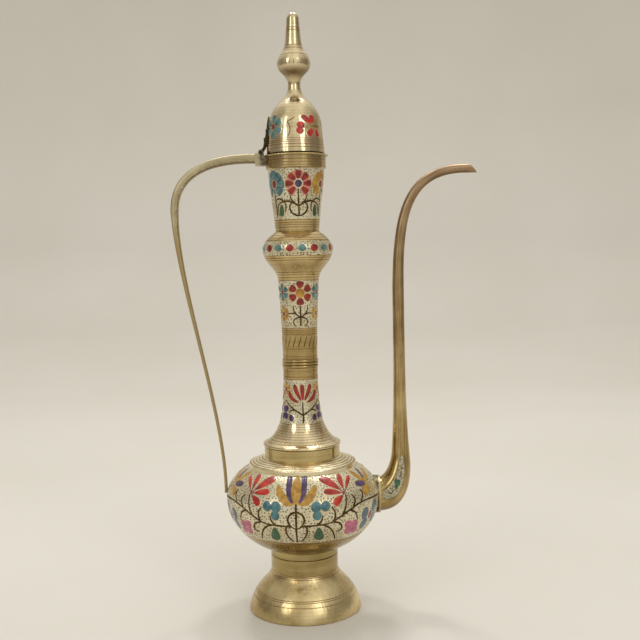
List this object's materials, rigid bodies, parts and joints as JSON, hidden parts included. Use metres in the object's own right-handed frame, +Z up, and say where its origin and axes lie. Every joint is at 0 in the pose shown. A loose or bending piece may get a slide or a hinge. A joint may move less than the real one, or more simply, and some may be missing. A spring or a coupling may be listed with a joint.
{
  "type": "surahi ewer",
  "caption": "Tall brass ewer with a bell foot, round enamelled belly, slim neck, hinged domed lid with finial, swan-neck spout and long bowed handle.",
  "frame": {"origin": "on the vessel's axis at the table, the centre of the foot's rim", "axes": "+Z up along the vessel's axis, +X towards the spout's beak, -X towards the handle and the lid's hinge"},
  "size_m": [0.2357, 0.1192, 0.46],
  "materials": {
    "polished_brass": "turned and polished, slightly tarnished",
    "enamelled_brass": "engraved, filled with coloured enamel, stippled ground",
    "hinge_brass": "filed, darkened with handling",
    "inner_brass": "dull, as soldered"
  },
  "bodies": {
    "vessel": {"foot": "polished_brass", "base_ring": "polished_brass", "belly_bowl": "enamelled_brass", "belly_dome": "enamelled_brass", "shoulder_collar": "polished_brass", "neck_lower": "enamelled_brass", "neck_ferrule": "polished_brass", "neck_upper": "enamelled_brass", "neck_knop": "enamelled_brass", "mouth_cup": "enamelled_brass", "hinge_bracket": "hinge_brass", "hinge_pin": "hinge_brass", "handle": "polished_brass", "spout_flange": "polished_brass", "spout": "polished_brass"},
    "lid": {"lid_dome": "enamelled_brass", "lid_bezel": "inner_brass", "lid_finial": "polished_brass", "finial_washer": "inner_brass", "hinge_leaf": "hinge_brass", "leaf_rivets": "hinge_brass"}
  },
  "joints": [
    {"name": "lid_hinge", "type": "hinge", "parent": "vessel", "child": "lid", "pos_m": [-0.0266, 0, 0.35484], "axis": [0, -1, 0], "range_deg": [0, 95]}
  ]
}
